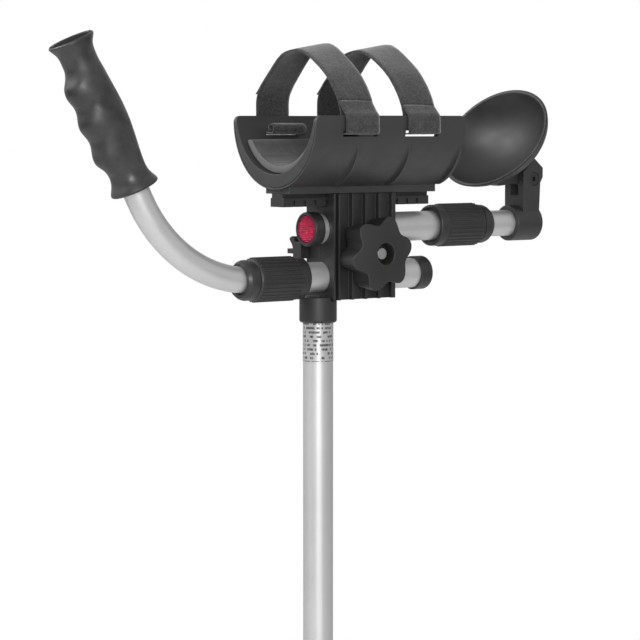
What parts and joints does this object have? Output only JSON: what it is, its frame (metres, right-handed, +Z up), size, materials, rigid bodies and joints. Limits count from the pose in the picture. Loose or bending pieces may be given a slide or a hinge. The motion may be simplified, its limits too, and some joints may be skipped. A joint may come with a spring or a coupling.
{
  "type": "forearm platform crutch",
  "caption": "Forearm-platform crutch with a padded trough, hook-and-loop straps, an adjustable handle and elbow cup on clamped cross tubes, and a telescopic leg.",
  "frame": {"origin": "centre of the ferrule's floor face, on the upright's axis", "axes": "+Z up the upright, +X back towards the elbow cup, -Y the outer side with the clamp knob"},
  "size_m": [0.4257, 0.1135, 1.068],
  "materials": {
    "anodised_tube": "satin anodised",
    "collar_plastic": "moulded, satin",
    "clamp_plastic": "moulded, satin",
    "knob_plastic": "fine spark texture",
    "brass_insert": "machined",
    "bolt_steel": "zinc plated",
    "bolt_black": "black oxide",
    "label_foil": "printed silver foil",
    "ferrule_rubber": "moulded rubber",
    "grip_rubber": "soft satin rubber",
    "cap_plastic": "moulded, satin",
    "reflector_red": "prismatic reflector",
    "sleeve_plastic": "ribbed, satin",
    "nose_plastic": "smooth, satin",
    "bush_plastic": "natural nylon",
    "bracket_plastic": "moulded, satin",
    "cup_plastic": "moulded, satin",
    "cup_liner": "soft lining",
    "trough_plastic": "fine grain",
    "rail_plastic": "moulded, satin",
    "pad_foam": "foam with knit face",
    "strap_fabric": "loop-pile webbing",
    "rod_plastic": "plain"
  },
  "bodies": {
    "frame": {"upper_tube": "anodised_tube", "upper_tube_bush": "collar_plastic", "label_sleeve": "label_foil", "clamp_inner_half": "clamp_plastic", "clamp_bolt": "bolt_steel", "collar_screw": "bolt_steel", "side_clip": "clamp_plastic"},
    "leg": {"lower_tube": "anodised_tube", "ferrule": "ferrule_rubber", "ferrule_washer": "bolt_steel", "button_spring": "bolt_steel"},
    "button": {"snap_button": "bolt_steel"},
    "clamp_jaw": {"clamp_outer_half": "clamp_plastic", "clamp_washer": "bolt_steel"},
    "knob": {"clamp_knob": "knob_plastic", "knob_insert": "brass_insert"},
    "front_tube": {"front_outer_tube": "anodised_tube", "front_tube_tail_cap": "cap_plastic", "front_collet": "nose_plastic"},
    "front_nut": {"front_sleeve_nut": "sleeve_plastic"},
    "handle_reach_bush": {"front_guide_bush": "bush_plastic"},
    "handle": {"handle_tube": "anodised_tube", "hand_grip": "grip_rubber"},
    "rear_tube": {"rear_outer_tube": "anodised_tube", "reflector_cap": "cap_plastic", "reflector_lens": "reflector_red", "rear_collet": "nose_plastic"},
    "rear_nut": {"rear_sleeve_nut": "sleeve_plastic"},
    "elbow_reach_bush": {"rear_guide_bush": "bush_plastic"},
    "elbow_arm": {"elbow_tube": "anodised_tube", "elbow_bracket": "bracket_plastic", "cup_pivot_bolt": "bolt_black", "cup_pivot_nut": "bolt_black"},
    "elbow_cup": {"elbow_cup_shell": "cup_plastic", "elbow_cup_liner": "cup_liner"},
    "trough": {"forearm_trough": "trough_plastic", "trough_rail": "rail_plastic", "rail_screws": "bolt_steel", "forearm_pad": "pad_foam", "front_strap": "strap_fabric", "front_strap_tab": "strap_fabric", "front_strap_rod": "rod_plastic", "rear_strap": "strap_fabric", "rear_strap_tab": "strap_fabric", "rear_strap_rod": "rod_plastic"}
  },
  "joints": [
    {"name": "height_slide", "type": "slide", "parent": "frame", "child": "leg", "axis": [0, 0, -1], "range_m": [-0.125, 0.125], "deforming": ["snap_button"]},
    {"name": "button_press", "type": "slide", "parent": "leg", "child": "button", "axis": [0, 1, 0], "range_m": [0, 0.0038], "stiffness_N_per_m": 900, "springref_m": -0.002, "deforming": ["button_spring"]},
    {"name": "knob_turn", "type": "hinge", "parent": "clamp_jaw", "child": "knob", "pos_m": [0.0305, 0, 0.9105], "axis": [0, -1, 0], "range_deg": [0, 360]},
    {"name": "clamp_open", "type": "slide", "parent": "frame", "child": "clamp_jaw", "axis": [0, -1, 0], "range_m": [0, 0.0015]},
    {"name": "front_tube_slide", "type": "slide", "parent": "frame", "child": "front_tube", "axis": [-1, 0, 0], "range_m": [0, 0.028]},
    {"name": "front_nut_turn", "type": "hinge", "parent": "front_tube", "child": "front_nut", "pos_m": [0.0305, 0, 0.893], "axis": [1, 0, 0], "range_deg": [0, 180]},
    {"name": "handle_reach", "type": "slide", "parent": "front_tube", "child": "handle_reach_bush", "axis": [-1, 0, 0], "range_m": [0, 0.05]},
    {"name": "handle_swivel", "type": "hinge", "parent": "handle_reach_bush", "child": "handle", "pos_m": [0.0305, 0, 0.893], "axis": [1, 0, 0], "range_deg": [-40, 40]},
    {"name": "rear_tube_slide", "type": "slide", "parent": "frame", "child": "rear_tube", "axis": [1, 0, 0], "range_m": [-0.015, 0.003]},
    {"name": "rear_nut_turn", "type": "hinge", "parent": "rear_tube", "child": "rear_nut", "pos_m": [0.0305, 0, 0.928], "axis": [1, 0, 0], "range_deg": [0, 180]},
    {"name": "elbow_reach", "type": "slide", "parent": "rear_tube", "child": "elbow_reach_bush", "axis": [1, 0, 0], "range_m": [-0.012, 0.05]},
    {"name": "elbow_swivel", "type": "hinge", "parent": "elbow_reach_bush", "child": "elbow_arm", "pos_m": [0.0305, 0, 0.928], "axis": [1, 0, 0], "range_deg": [-30, 30]},
    {"name": "cup_tilt", "type": "hinge", "parent": "elbow_arm", "child": "elbow_cup", "pos_m": [0.2014, 0, 0.9617], "axis": [0, 1, 0], "range_deg": [-8, 15]},
    {"name": "trough_slide", "type": "slide", "parent": "frame", "child": "trough", "axis": [1, 0, 0], "range_m": [-0.019, 0.019]}
  ],
  "couplings": [
    {"joint": "clamp_open", "follows": "knob_turn", "m_per_rad": 0.00023873}
  ]
}
